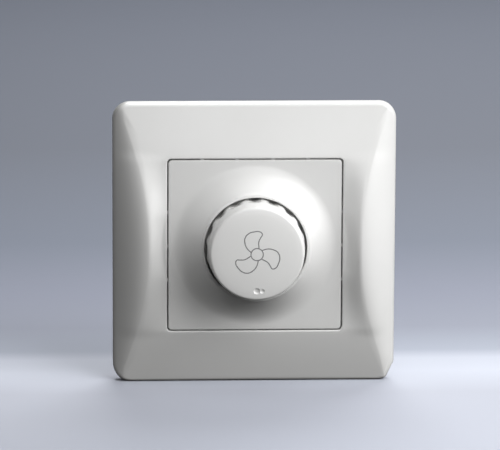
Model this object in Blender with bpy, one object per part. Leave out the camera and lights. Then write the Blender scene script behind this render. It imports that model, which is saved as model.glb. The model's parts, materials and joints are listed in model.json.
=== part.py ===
"""Flush wall-mounted rotary fan speed control: a square frame, a centre plate, a knob and the insert.

Lengths are millimetres, scaled to metres once in mesh_of() and make(). +X is right and +Z is up.
The wall's surface is y = 0: the face stands in front of it at -y, and the insert sits in its box at +y.
A name that ends in DEPTH or FRONT of a face piece is a distance in front of the wall.
"""

from math import atan2, cos, hypot, pi, radians, sin, sqrt

import bmesh
import bpy

MM = 0.001
REST_GAP = 0.3  # between pieces that touch
LOOSE_GAP = 0.15  # round a shaft or a screw that passes through
RUNNING_GAP = 0.08  # round the shaft where it runs in its bushing

# Frame
FRAME_CORNER = 5.0
FRAME_EDGE = 5.0  # depth of the face at the top and bottom edges
SIDE_EDGE = 3.2  # and at the side edges
FRAME_WALL = 2.0
FRAME_SKIN = 2.2
RIM_DEPTH = 8.3  # depth of the face at the opening
RIM_WALL = 1.6
RIM_CORNER = 1.2
LEDGE_REACH = 1.6
LEDGE_THICKNESS = 1.4
RIDGE_DEPTH = 11.7
RIDGE_OFFSET = 4.9  # from the opening to the ridge, at mid height
RIDGE_BOW = 0.0047
RIDGE_END = 2.0  # beyond the plate's corner

# Knob
KNOB_RADIUS = 14.5
KNOB_DEPTH = 21.2
KNOB_WALL = 1.45
KNOB_GAP = 0.5
KNOB_SKIRT_DEPTH = 9.9
KNOB_HUB_WALL = 1.3
FLUTES = 16
FLUTE_SCOOP = 0.7
FLUTE_FADE = 2.3
DIMPLE_INSET = 3.35
DIMPLE_PITCH = 1.85

# Centre plate
PLATE_SIZE = 50.0
PLATE_CORNER = 1.0
PLATE_GAP = 0.4
PLATE_STEP = 0.3  # from the frame's rim back to the plate's face
PLATE_THICKNESS = 2.0
PLATE_SKIRT = 0.8
PLATE_SKIRT_WALL = 1.5
DOME_MARGIN = 1.2  # from the foot of the dome to the plate's edge
DOME_HEIGHT = 5.0
DOME_WALL = 1.6
DOME_LIP = 0.9

# Shaft, bushing and nuts
SHAFT_RADIUS = 3.0
SHAFT_FLAT = 1.5  # from the axis to the flat
TAIL_RADIUS = 2.0
BUSHING_WALL = 1.42
WASHER_THICKNESS = 0.4
STRAP_NUT_THICKNESS = 2.0
PLATE_NUT_THICKNESS = 2.4
CAN_RADIUS = 8.5
CAN_WALL = 0.6
CAN_LENGTH = 6.1

# Strap, carrier plate and housing
STRAP_MARGIN = 4.0  # from the strap's edge to the frame's wall
STRAP_THICKNESS = 1.2
STRAP_CORNER = 5.0
STRAP_RIM = 3.2  # beyond the slots for the box's screws
BOX_SLOT_WEB = 1.1  # between a claw screw's hole and the slot
BOX_SLOT_RADIUS = 1.8
BOX_SLOT_REACH = 2.6
CARRIER_THICKNESS = 2.0
RIVET_RADIUS = 1.5
RIVET_Z = 16.5
HOUSING_WIDTH = 40.0
HOUSING_HEIGHT = 46.0
HOUSING_REAR = 21.0
HOUSING_CORNER = 6.0
HOUSING_WALL = 1.6
LATCH_WIDTH = 9.0
LATCH_THICKNESS = 1.2
BOARD_THICKNESS = 1.6
SOLDER_SPACE = 2.6

# Claws
CLAW_WIDTH = 9.2
CLAW_LENGTH = 17.5
CLAW_THICKNESS = 1.2
CLAW_BARREL = 1.7
CLAW_PIN_RADIUS = 0.9
CLAW_SCREW_RADIUS = 1.5
CLAW_SCREW_TIP = 9.0  # short of the arm when it has swung out
CLAW_SCREW_OFFSET = 3.4  # from the claw's pin to its screw

# Terminals
TERMINAL_WALL = 1.2  # between two wires' pockets
CAGE_WIDTH = 7.2
CAGE_WALL = 1.0
CAGE_LENGTH = 6.2
WIRE_SCREW_RADIUS = 1.5
WIRE_HEAD_RADIUS = 2.2
WIRE_HOLE_RADIUS = 1.8
DRIVER_HOLE_RADIUS = 1.95

# Worked out from the sizes above
PLATE_HALF = PLATE_SIZE / 2
OPENING_HALF = PLATE_HALF + PLATE_GAP
PLATE_DEPTH = RIM_DEPTH - PLATE_STEP
PLATE_UNDERSIDE = PLATE_DEPTH - PLATE_THICKNESS
PLATE_SKIRT_DEPTH = PLATE_UNDERSIDE - PLATE_SKIRT
WELL_RADIUS = KNOB_RADIUS + KNOB_GAP
DOME_RIM = WELL_RADIUS + DOME_LIP / 2
DOME_FOOT = PLATE_HALF - DOME_MARGIN

BUSHING_BORE = SHAFT_RADIUS + RUNNING_GAP
BUSHING_RADIUS = BUSHING_BORE + BUSHING_WALL
NUT_HOLE = BUSHING_RADIUS + LOOSE_GAP
STRAP_HOLE = BUSHING_RADIUS + 2 * LOOSE_GAP
KNOB_BORE = SHAFT_RADIUS + 0.2
KNOB_HUB = KNOB_BORE + KNOB_HUB_WALL
WASHER_FRONT = STRAP_THICKNESS + REST_GAP + WASHER_THICKNESS
STRAP_NUT_FRONT = WASHER_FRONT + REST_GAP + STRAP_NUT_THICKNESS
WELL_FLOOR_REAR = STRAP_NUT_FRONT + 0.4
WELL_FLOOR_FRONT = WELL_FLOOR_REAR + PLATE_THICKNESS
PLATE_NUT_FRONT = WELL_FLOOR_FRONT + REST_GAP + PLATE_NUT_THICKNESS
BUSHING_FRONT = PLATE_NUT_FRONT + 1.1
KNOB_HUB_DEPTH = BUSHING_FRONT + 0.6

CARRIER_REAR = REST_GAP + CARRIER_THICKNESS
HOUSING_FRONT = CARRIER_REAR + REST_GAP
INSIDE_REAR = HOUSING_REAR - HOUSING_WALL
BOARD_FRONT = INSIDE_REAR - SOLDER_SPACE - BOARD_THICKNESS
PART_REAR = BOARD_FRONT - REST_GAP  # where the parts seat on the board
LEG_REAR = BOARD_FRONT - 0.2
INSIDE_X = HOUSING_WIDTH / 2 - HOUSING_WALL
INSIDE_Z = HOUSING_HEIGHT / 2 - HOUSING_WALL
TRIMMER = (6.0 - INSIDE_X, INSIDE_Z - 5.5)
CHOKE = (INSIDE_X - 7.0, INSIDE_Z - 6.0)
FUSE = (INSIDE_X - 4.2, 10.2)
SINK_FACE = 1.8 - INSIDE_X  # the heat sink's face towards the middle
CAN_REAR = HOUSING_FRONT + CAN_LENGTH
CAN_INSIDE = CAN_RADIUS - CAN_WALL

CLAW_PIVOT = (HOUSING_WIDTH / 2 + 2, CARRIER_REAR + 1.1)
CLAW_SCREW_X = CLAW_PIVOT[0] + CLAW_SCREW_OFFSET
CLAW_SCREW_HOLE = CLAW_SCREW_RADIUS + 0.2
BOX_SCREW_REACH = CLAW_SCREW_X + CLAW_SCREW_HOLE + BOX_SLOT_WEB + BOX_SLOT_RADIUS  # 30 mm: half the pitch
STRAP_HALF = BOX_SCREW_REACH + BOX_SLOT_RADIUS + STRAP_RIM
FRAME_HALF = STRAP_HALF + STRAP_MARGIN + FRAME_WALL

BLOCK_BOTTOM = REST_GAP - INSIDE_Z
BLOCK_REAR = INSIDE_REAR - REST_GAP
BLOCK_FRONT = 6.4
CAGE_HALF = CAGE_WIDTH / 2
POCKET_HALF = CAGE_HALF + REST_GAP
TERMINAL_Z = BLOCK_BOTTOM + POCKET_HALF + 1.2
BLOCK_TOP = TERMINAL_Z + POCKET_HALF + 1.5
POCKET_FRONT = BLOCK_FRONT + 1.9
POCKET_REAR = BLOCK_REAR - 2
CAGE_FRONT = POCKET_FRONT + REST_GAP
TONGUE_FRONT = CAGE_FRONT + CAGE_WALL + 2.3
TONGUE_REAR = TONGUE_FRONT + 0.8
WIRE_Y = (CAGE_FRONT + CAGE_WALL + TONGUE_FRONT) / 2
TERMINAL_PITCH = 2 * POCKET_HALF + TERMINAL_WALL
TERMINALS = (-TERMINAL_PITCH, 0.0, TERMINAL_PITCH)
SIDES = (("left", -1), ("right", 1))


def clear_scene():
    for obj in list(bpy.data.objects):
        bpy.data.objects.remove(obj, do_unlink=True)


def material(name, colour, roughness, metallic=0.0):
    made = bpy.data.materials.new(name)
    made.use_nodes = True
    shader = made.node_tree.nodes["Principled BSDF"]
    shader.inputs["Base Color"].default_value = (*colour, 1)
    shader.inputs["Roughness"].default_value = roughness
    shader.inputs["Metallic"].default_value = metallic
    made.diffuse_color = (*colour, 1)
    return made


def place(u, v, along, axis):
    """A point from its two coordinates across an axis and its distance along it."""
    return {"X": (along, u, v), "Y": (u, along, v), "Z": (u, v, along)}[axis]


def circle(u, v, radius, steps=20):
    turns = (2 * pi * k / steps for k in range(steps))
    return [(u + radius * cos(t), v + radius * sin(t)) for t in turns]


def rectangle(u0, u1, v0, v1):
    return [(u0, v0), (u1, v0), (u1, v1), (u0, v1)]


def slot(u, v, radius, half_u, half_v, steps=8):
    """A round-ended slot that runs half_u or half_v each way from its middle."""
    start = -pi / 2 if half_u else 0
    ends = ((1, start), (-1, start + pi))
    return [
        (
            u + side * half_u + radius * cos(turn + pi * k / steps),
            v + side * half_v + radius * sin(turn + pi * k / steps),
        )
        for side, turn in ends
        for k in range(steps + 1)
    ]


def chamfered(half_u, half_v, cut):
    inner_u, inner_v = half_u - cut, half_v - cut
    return [
        (half_u, -inner_v), (half_u, inner_v), (inner_u, half_v), (-inner_u, half_v),
        (-half_u, inner_v), (-half_u, -inner_v), (-inner_u, -half_v), (inner_u, -half_v),
    ]


def rounded_square(half, radius, side_steps, corner_steps):
    """Points round a square, as many for any size, so that two outlines match point for point."""
    flat = half - radius
    side = [(half, flat * (2 * k / side_steps - 1)) for k in range(side_steps)]
    turns = (pi / 2 * k / corner_steps for k in range(corner_steps))
    corner = [(flat + radius * cos(t), flat + radius * sin(t)) for t in turns]
    points = []
    for cosine, sine in ((1, 0), (0, 1), (-1, 0), (0, -1)):
        points += [(u * cosine - v * sine, u * sine + v * cosine) for u, v in side + corner]
    return points


def skin(rings, closed=True):
    """A bmesh with faces from each ring of points to the next. A ring of one point closes to a tip."""
    bm = bmesh.new()
    rows = [[bm.verts.new(point) for point in ring] for ring in rings]
    for a, b in zip(rows, rows[1:] + rows[:1] if closed else rows[1:]):
        count = max(len(a), len(b))
        for k in range(count if count > 1 else 0):
            corners = (a[k % len(a)], a[(k + 1) % len(a)], b[(k + 1) % len(b)], b[k % len(b)])
            bm.faces.new(list(dict.fromkeys(corners)))
    return bm


def turned(profile, centre=(0, 0), axis="Y", segments=32, shape=None):
    """A closed profile of (radius, distance along the axis), turned about the axis."""
    rings = []
    for radius, along in profile:
        ring = []
        for k in range(segments if radius > 0 else 1):
            turn = 2 * pi * k / segments
            r = shape(radius, along, turn) if shape else radius
            ring.append(place(centre[0] + r * cos(turn), centre[1] + r * sin(turn), along, axis))
        rings.append(ring)
    return skin(rings)


def rod(radius, low, high, centre=(0, 0), axis="Y", segments=24):
    return turned([(0, low), (radius, low), (radius, high), (0, high)], centre, axis, segments)


def tube(inner, outer, low, high, centre=(0, 0), axis="Y", segments=24):
    profile = [(inner, low), (outer, low), (outer, high), (inner, high)]
    return turned(profile, centre, axis, segments)


def prism(outline, low, high, axis="Y", holes=()):
    """An outline with holes, extruded along an axis."""
    bm = bmesh.new()
    for loop in (outline, *holes):
        verts = [bm.verts.new(place(u, v, low, axis)) for u, v in loop]
        for pair in zip(verts, verts[1:] + verts[:1]):
            bm.edges.new(pair)
    cap = bmesh.ops.triangle_fill(bm, use_beauty=True, edges=bm.edges[:])["geom"]
    faces = [item for item in cap if isinstance(item, bmesh.types.BMFace)]
    moved = bmesh.ops.extrude_face_region(bm, geom=faces)["geom"]
    verts = [item for item in moved if isinstance(item, bmesh.types.BMVert)]
    bmesh.ops.translate(bm, vec=place(0, 0, high - low, axis), verts=verts)
    return bm


def box(x0, x1, y0, y1, z0, z1):
    return prism(rectangle(x0, x1, z0, z1), y0, y1)


def mesh_of(name, bodies, origin):
    """One mesh from one or more bodies in millimetres, in metres about its origin."""
    mesh = bpy.data.meshes.new(name)
    whole = bmesh.new()
    for bm in bodies:
        bm.to_mesh(mesh)
        bm.free()
        whole.from_mesh(mesh)
    bmesh.ops.recalc_face_normals(whole, faces=whole.faces[:])
    bmesh.ops.translate(whole, vec=[-value for value in origin], verts=whole.verts[:])
    bmesh.ops.scale(whole, vec=(MM, MM, MM), verts=whole.verts[:])
    whole.to_mesh(mesh)
    whole.free()
    return mesh


def make(name, body, mat, origin=(0, 0, 0), add=(), cut=()):
    """A node whose origin is on its joint's axis, with other bodies joined to it or cut from it."""
    mesh = mesh_of(name, [body], origin)
    mesh.materials.append(mat)
    mesh.shade_smooth()
    mesh.set_sharp_from_angle(angle=radians(30))
    obj = bpy.data.objects.new(name, mesh)
    obj.location = [value * MM for value in origin]
    bpy.context.collection.objects.link(obj)
    for operation, bodies in (("UNION", add), ("DIFFERENCE", cut)):
        for number, other in enumerate(bodies):
            helper_name = f"{name}_{operation.lower()}_{number}"
            helper = bpy.data.objects.new(helper_name, mesh_of(helper_name, [other], origin))
            helper.location = obj.location
            helper.hide_render = True
            helper.display_type = "WIRE"
            bpy.context.collection.objects.link(helper)
            modifier = obj.modifiers.new(helper_name, "BOOLEAN")
            modifier.operation = operation
            modifier.solver = "EXACT"
            modifier.object = helper
    return obj


def ridge_x(z):
    """Where the arc that bounds each side wing crosses the height z."""
    return OPENING_HALF + RIDGE_OFFSET + RIDGE_BOW * z * z


def arch_depth(z):
    fall = (max(z - PLATE_HALF, 0) / (FRAME_HALF - PLATE_HALF)) ** 1.15
    return RIM_DEPTH - (RIM_DEPTH - FRAME_EDGE) * fall


def ridge_depth(z):
    """The ridge stands proud of the arch beside the plate only, a little past its corners."""
    rise = max(1 - (z / (PLATE_HALF + RIDGE_END)) ** 2, 0) ** 1.1
    return arch_depth(z) + (RIDGE_DEPTH - RIM_DEPTH) * rise


def frame_depth(x, z):
    """How far the frame's face stands off the wall."""
    x, z = abs(x), abs(z)
    crest, ridge = ridge_x(z), ridge_depth(z)
    if x > crest:
        share = (x - crest) / (FRAME_HALF - crest)
        return SIDE_EDGE + (ridge - SIDE_EDGE) * (1 - min(share, 1) ** 1.8)
    arch = arch_depth(z)
    return arch + (ridge - arch) * max(x - OPENING_HALF, 0) / (crest - OPENING_HALF)


def ridge_share(inner, outer):
    """How far along the line from the opening to the outer edge the ridge stands."""
    low, high = 0.0, 1.0
    for _ in range(30):
        middle = (low + high) / 2
        x, z = (a + (b - a) * middle for a, b in zip(inner, outer))
        low, high = (middle, high) if abs(x) < ridge_x(z) else (low, middle)
    return low if low < 0.97 else 0.6 + 0.3 * (inner[0] / OPENING_HALF) ** 4


def frame_section(inner, outer):
    """One closed section of the frame, from its opening to its outer edge and back underneath."""
    length = hypot(outer[0] - inner[0], outer[1] - inner[1])

    def point(offset, depth=None, drop=0.0):
        x, z = (a + (b - a) * offset / length for a, b in zip(inner, outer))
        return (x, drop - (frame_depth(x, z) if depth is None else depth), z)

    crest = ridge_share(inner, outer) * length
    rest = length - crest
    edge, wall = frame_depth(*outer), length - FRAME_WALL
    ledge_front = PLATE_SKIRT_DEPTH - REST_GAP
    ledge_rear = ledge_front - LEDGE_THICKNESS
    under_crest = max(min(crest, wall - 1), RIM_WALL + 0.5)
    return [
        point(0, drop=0.5), point(0.5), point(crest / 2), point(crest),
        point(crest + 0.4 * rest), point(crest + 0.75 * rest),
        point(length - 1), point(length - 0.3, edge - 0.3), point(length, edge - 1),
        point(length, 0), point(wall, 0), point(wall, edge - 1.1 * FRAME_SKIN),
        point(under_crest, drop=FRAME_SKIN), point(RIM_WALL, drop=FRAME_SKIN), point(RIM_WALL, ledge_rear),
        point(-LEDGE_REACH, ledge_rear), point(-LEDGE_REACH, ledge_front), point(0, ledge_front),
    ]


def outer_frame(plastic):
    opening = rounded_square(OPENING_HALF, RIM_CORNER, 12, 5)
    outline = rounded_square(FRAME_HALF, FRAME_CORNER, 12, 5)
    sections = [frame_section(a, b) for a, b in zip(opening, outline)]
    make("outer_frame", skin(sections), plastic)


def dome_depth(radius):
    share = (DOME_FOOT - radius) / (DOME_FOOT - DOME_RIM)
    return PLATE_DEPTH + DOME_HEIGHT * (1.5 * share - 0.5 * (1 - (1 - share) ** 3))


def centre_plate(plastic):
    """The square plate, its flared dome and the well that the knob turns in."""
    edge = rounded_square(PLATE_HALF, PLATE_CORNER, 9, 3)

    def ring(radius, depth):
        turns = (atan2(z, x) for x, z in edge)
        return [(radius * cos(t), -depth, radius * sin(t)) for t in turns]

    def border(inset, depth):
        scale = (PLATE_HALF - inset) / PLATE_HALF
        return [(x * scale, -depth, z * scale) for x, z in edge]

    hole = BUSHING_RADIUS + 0.4
    lip = WELL_RADIUS + DOME_LIP
    lip_depth = PLATE_DEPTH + DOME_HEIGHT
    flare = [lip + (DOME_FOOT - lip) * share for share in (0.085, 0.27, 0.49, 0.75, 1)]
    wall = WELL_RADIUS + DOME_WALL
    cove = wall + 0.5 * (DOME_FOOT - 1 - wall)
    make("centre_plate", skin([
        ring(hole, WELL_FLOOR_FRONT), ring(WELL_RADIUS - 0.5, WELL_FLOOR_FRONT),
        ring(WELL_RADIUS, WELL_FLOOR_FRONT + 0.5), ring(WELL_RADIUS, lip_depth - 0.4),
        ring(WELL_RADIUS + 0.35, lip_depth), ring(lip, lip_depth), *(ring(r, dome_depth(r)) for r in flare),
        border(0.4, PLATE_DEPTH), border(0, PLATE_DEPTH - 0.4), border(0, PLATE_SKIRT_DEPTH),
        border(PLATE_SKIRT_WALL, PLATE_SKIRT_DEPTH), border(PLATE_SKIRT_WALL, PLATE_UNDERSIDE),
        ring(DOME_FOOT - 1, PLATE_UNDERSIDE), ring(cove, PLATE_UNDERSIDE + 1.3),
        ring(wall, lip_depth - 3.6), ring(wall, WELL_FLOOR_REAR), ring(hole, WELL_FLOOR_REAR),
    ]), plastic)


def fluted(radius, along, turn):
    """The knob's radius, scooped at each flute below the shoulder."""
    if radius < KNOB_RADIUS - 1:
        return radius
    pitch = 2 * pi / FLUTES
    offset = ((turn - radians(92) + pitch / 2) % pitch - pitch / 2) / (0.45 * pitch)
    flute_top = KNOB_DEPTH - 5.4
    fade = min(max((flute_top + along) / FLUTE_FADE, 0), 1)
    return radius - FLUTE_SCOOP * fade * cos(pi / 2 * min(abs(offset), 1)) ** 2


def knob(plastic):
    front, skirt = -KNOB_DEPTH, -KNOB_SKIRT_DEPTH
    inside = KNOB_RADIUS - KNOB_WALL
    bore_end = front + 2.9
    profile = [
        (0, front), (6, front + 0.05), (KNOB_RADIUS - 1.5, front + 0.3),
        (KNOB_RADIUS - 0.9, front + 0.6), (KNOB_RADIUS - 0.7, front + 1.3),
        (KNOB_RADIUS - 0.35, front + 5.4), (KNOB_RADIUS - 0.1, front + 7.9), (KNOB_RADIUS, skirt),
        (inside, skirt), (inside - 0.5, front + 2.4), (KNOB_HUB, front + 2.4),
        (KNOB_HUB, -KNOB_HUB_DEPTH), (KNOB_BORE, -KNOB_HUB_DEPTH), (KNOB_BORE, bore_end), (0, bore_end),
    ]
    body = turned(profile, segments=96, shape=fluted)
    key_reach = KNOB_BORE + 0.2
    key_half = sqrt(KNOB_HUB ** 2 - key_reach ** 2) - 0.05
    key = box(SHAFT_FLAT + 0.2, key_reach, bore_end - 0.2, -KNOB_HUB_DEPTH - 1, -key_half, key_half)
    dimple_z = DIMPLE_INSET - KNOB_RADIUS
    dimples = []
    for radius, x in ((0.9, 0), (0.75, DIMPLE_PITCH)):
        cup = [(0, -0.4), (radius, -0.4), (radius, 0.2), (radius * 0.7, 0.48), (0, 0.6)]
        cup = [(r, front + along) for r, along in cup]
        dimples.append(turned(cup, (x, dimple_z), segments=16))
    make("knob", body, plastic, add=[key], cut=dimples)


def shaft_parts(plastic, metal, spring):
    """What turns with the knob behind it: the clip on its hub, the shaft, the wiper and the cam."""
    clip_bore = KNOB_HUB + 0.2
    clip = tube(clip_bore, clip_bore + 0.5, -KNOB_HUB_DEPTH - 5, -KNOB_HUB_DEPTH - 0.6, segments=32)
    mouth = [(0, -2), (2, -clip_bore - 2.3), (-2, -clip_bore - 2.3)]
    make("knob_clip", clip, spring, cut=[prism(mouth, -KNOB_HUB_DEPTH - 6, -KNOB_HUB_DEPTH)])

    tip = 3.2 - KNOB_DEPTH
    tail_front = CAN_REAR + REST_GAP
    make("pot_shaft", turned([
        (0, tip), (SHAFT_RADIUS - 0.4, tip), (SHAFT_RADIUS, tip + 0.4), (SHAFT_RADIUS, tail_front),
        (TAIL_RADIUS, tail_front), (TAIL_RADIUS, BOARD_FRONT - 2.3), (0, BOARD_FRONT - 2.3),
    ]), metal, cut=[box(SHAFT_FLAT, SHAFT_RADIUS + 1, tip - 0.5, -BUSHING_FRONT - 0.5, -4, 4)])

    wiper = HOUSING_FRONT + 2.1
    finger = box(-0.5, 0.5, wiper + 0.5, wiper + 1.8, 1.5 - CAN_INSIDE, 2.5 - CAN_INSIDE)
    ring = tube(SHAFT_RADIUS + LOOSE_GAP, CAN_INSIDE - 1, wiper, wiper + 0.8, segments=32)
    make("pot_wiper", ring, spring, add=[finger])

    cam = 4.4
    lug = [(1.6, 4), (1.1, cam + 0.8), (-1.1, cam + 0.8), (-1.6, 4)]
    turns = (radians(115 + 310 * k / 20) for k in range(21))
    rim = [(cam * cos(t), cam * sin(t)) for t in turns]
    hole = circle(0, 0, TAIL_RADIUS + LOOSE_GAP)
    make("switch_cam", prism(rim + lug, tail_front + 0.6, tail_front + 1.8, holes=[hole]), plastic)


def front_hardware(steel, brass):
    """The nuts and the washer on the threaded bushing."""
    nuts = (
        ("plate_nut", 2.5, PLATE_NUT_FRONT, PLATE_NUT_THICKNESS),
        ("strap_nut", 1.5, STRAP_NUT_FRONT, STRAP_NUT_THICKNESS),
    )
    hole = circle(0, 0, NUT_HOLE)
    for name, wall, front, thickness in nuts:
        corner = (BUSHING_RADIUS + wall) * 2 / sqrt(3)
        make(name, prism(circle(0, 0, corner, 6), -front, thickness - front, holes=[hole]), brass)
    washer = tube(NUT_HOLE + 0.05, NUT_HOLE + 2.35, -WASHER_FRONT, WASHER_THICKNESS - WASHER_FRONT)
    make("lock_washer", washer, steel)


def shared_holes():
    """The holes that line up through the strap and the carrier plate."""
    holes = [circle(0, 0, STRAP_HOLE), circle(*TRIMMER, 1.6, 12)]
    holes += [circle(0, side * RIVET_Z, RIVET_RADIUS + LOOSE_GAP, 16) for _, side in SIDES]
    return holes


def support_strap(steel):
    far = BOX_SCREW_REACH
    spare = STRAP_HALF - 8
    holes = shared_holes()
    for _, side in SIDES:
        holes.append(circle(side * CLAW_SCREW_X, 0, CLAW_SCREW_HOLE, 16))
        holes.append(slot(side * far, 0, BOX_SLOT_RADIUS, 0, BOX_SLOT_REACH))
        holes.append(slot(0, side * far, BOX_SLOT_RADIUS, BOX_SLOT_REACH, 0))
        holes += [circle(side * spare, v, 2, 16) for v in (-spare, spare)]
    outline = chamfered(STRAP_HALF, STRAP_HALF, STRAP_CORNER)
    make("support_strap", prism(outline, -STRAP_THICKNESS, 0, holes=holes), steel)


def carrier_plate(steel):
    """The folded plate behind the strap, with ears for the claws and two arms that latch the housing."""
    half_x, half_z = HOUSING_WIDTH / 2, HOUSING_HEIGHT / 2
    pivot_x, pivot_y = CLAW_PIVOT
    ear = [
        (half_x - 1, REST_GAP), (pivot_x + 1.8, REST_GAP), (pivot_x + 1.8, pivot_y + 1.8),
        (half_x + 0.3, pivot_y + 1.8), (half_x + 0.3, CARRIER_REAR), (half_x - 1, CARRIER_REAR),
    ]
    inner, outer = half_z + REST_GAP, half_z + REST_GAP + LATCH_THICKNESS
    arm = [
        (REST_GAP, half_z - 1), (REST_GAP, outer), (9, outer),
        (9, inner), (CARRIER_REAR, inner), (CARRIER_REAR, half_z - 1),
    ]
    ear_low = CLAW_WIDTH / 2 + 0.4
    add, cut = [], []
    for _, side in SIDES:
        outline = [(side * x, y) for x, y in ear]
        pin = circle(side * pivot_x, pivot_y, CLAW_PIN_RADIUS + 0.1, 16)
        add += [prism(outline, low, low + 1.6, "Z", [pin]) for low in (-ear_low - 1.6, ear_low)]
        add.append(prism([(y, side * z) for y, z in arm], -LATCH_WIDTH / 2, LATCH_WIDTH / 2, "X"))
        cut.append(box(-2.6, 2.6, 4.6, 7.6, *sorted((side * (inner - 0.3), side * (outer + 0.5)))))
    plate = prism(chamfered(half_x, half_z, HOUSING_CORNER), REST_GAP, CARRIER_REAR, holes=shared_holes())
    make("carrier_plate", plate, steel, add=add, cut=cut)


def housing_shell(plastic):
    half_x, half_z = HOUSING_WIDTH / 2, HOUSING_HEIGHT / 2
    inside_corner = HOUSING_CORNER - HOUSING_WALL * (2 - sqrt(2))
    rear = HOUSING_REAR + 1
    lug = half_z + REST_GAP + LATCH_THICKNESS - 0.3
    add = [box(-2.3, 2.3, 4.9, 7.3, *sorted((side * (half_z - 0.5), side * lug))) for _, side in SIDES]
    cut = [prism(chamfered(INSIDE_X, INSIDE_Z, inside_corner), HOUSING_FRONT - 1, INSIDE_REAR)]
    for x in TERMINALS:
        cut.append(rod(DRIVER_HOLE_RADIUS, INSIDE_REAR - 0.4, rear, (x, TERMINAL_Z), segments=16))
        cut.append(rod(WIRE_HOLE_RADIUS, -half_z - 1, 0.4 - INSIDE_Z, (x, WIRE_Y), "Z", segments=16))
    cut += [box(x - 0.8, x + 0.8, INSIDE_REAR - 0.4, rear, 4, 16) for x in (-8, -4, 0, 4, 8)]
    shell = prism(chamfered(half_x, half_z, HOUSING_CORNER), HOUSING_FRONT, HOUSING_REAR)
    make("housing_shell", shell, plastic, add=add, cut=cut)


def potentiometer(steel, brass, board, metal):
    flange = HOUSING_FRONT + 0.9
    make("pot_bushing", turned([
        (BUSHING_BORE, -BUSHING_FRONT), (BUSHING_RADIUS - 0.4, -BUSHING_FRONT),
        (BUSHING_RADIUS, 0.4 - BUSHING_FRONT), (BUSHING_RADIUS, flange),
        (BUSHING_RADIUS + 1.7, flange), (BUSHING_RADIUS + 1.7, flange + 0.8), (BUSHING_BORE, flange + 0.8),
    ]), brass)
    hole = BUSHING_RADIUS + 0.2
    make("pot_can", turned([
        (hole, HOUSING_FRONT), (CAN_RADIUS, HOUSING_FRONT), (CAN_RADIUS, CAN_REAR), (CAN_INSIDE, CAN_REAR),
        (CAN_INSIDE, HOUSING_FRONT + CAN_WALL), (hole, HOUSING_FRONT + CAN_WALL),
    ], segments=40), steel)
    track = tube(SHAFT_RADIUS + 0.6, CAN_INSIDE - 0.2, CAN_REAR - 1.9, CAN_REAR - 0.7, segments=32)
    make("pot_track", track, board)
    for number, x in enumerate((-2.5, 0, 2.5), 1):
        pin = box(x - 0.5, x + 0.5, CAN_REAR - 1.7, LEG_REAR, CAN_RADIUS + 0.3, CAN_RADIUS + 0.8)
        make(f"pot_pin_{number}", pin, metal)


def off_switch(steel, spring):
    front, rear = CAN_REAR + REST_GAP, BOARD_FRONT - 0.6
    make("switch_can", turned([
        (0, rear - CAN_WALL), (CAN_INSIDE, rear - CAN_WALL), (CAN_INSIDE, front),
        (CAN_RADIUS, front), (CAN_RADIUS, rear), (0, rear),
    ], segments=40), steel)
    pivot = (1.4 - CAN_INSIDE, front + 0.6, 0)
    rocker = box(pivot[0] - 0.55, pivot[0] + 0.55, pivot[1], pivot[1] + 2.4, -1.5, 1.5)
    make("switch_rocker", rocker, spring, origin=pivot)


def power_parts(black, aluminium, steel):
    """The switching semiconductor, screwed to its heat sink."""
    screw = (6.4, 2.9)
    hole = circle(*screw, 1.6, 16)
    sink = prism(rectangle(3.4, BOARD_FRONT - 0.4, -9.5, 12.8), SINK_FACE - 1.5, SINK_FACE, "X", [hole])
    make("heat_sink", sink, aluminium)
    low, high = SINK_FACE + REST_GAP, SINK_FACE + 3.2
    legs = [box(low + 1.2, low + 1.8, 13.8, LEG_REAR, z - 0.4, z + 0.4) for z in (0.6, 2.9, 5.2)]
    make("triac", prism(rectangle(3, 14.1, -1, 6.8), low, high, "X", [hole]), black, add=legs)
    head = high + REST_GAP
    make("triac_screw", turned([
        (0, SINK_FACE - 1.4), (1.4, SINK_FACE - 1.4), (1.4, head), (2.6, head),
        (2.6, head + 1.4), (2, head + 1.9), (0, head + 1.9),
    ], screw, "X", 20), steel, cut=[box(head + 1.4, head + 2.1, 3.5, 9.3, 2.6, 3.2)])


def filter_parts(black, ferrite, copper):
    left, right, top = TRIMMER[0] + 3.2, CHOKE[0] - 6.6, INSIDE_Z - 2.8
    make("x_capacitor", box(left, right, 4.6, PART_REAR, top - 8, top), black)
    front, neck = 5.0, 2.2
    make("choke_core", turned([
        (0, front), (4.6, front), (4.6, front + 1.2), (neck, front + 1.2),
        (neck, PART_REAR - 1.2), (4.6, PART_REAR - 1.2), (4.6, PART_REAR), (0, PART_REAR),
    ], CHOKE), ferrite)
    winding = tube(neck + REST_GAP, 4.2, front + 1.5, PART_REAR - 1.5, CHOKE)
    make("choke_winding", winding, copper)


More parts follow.
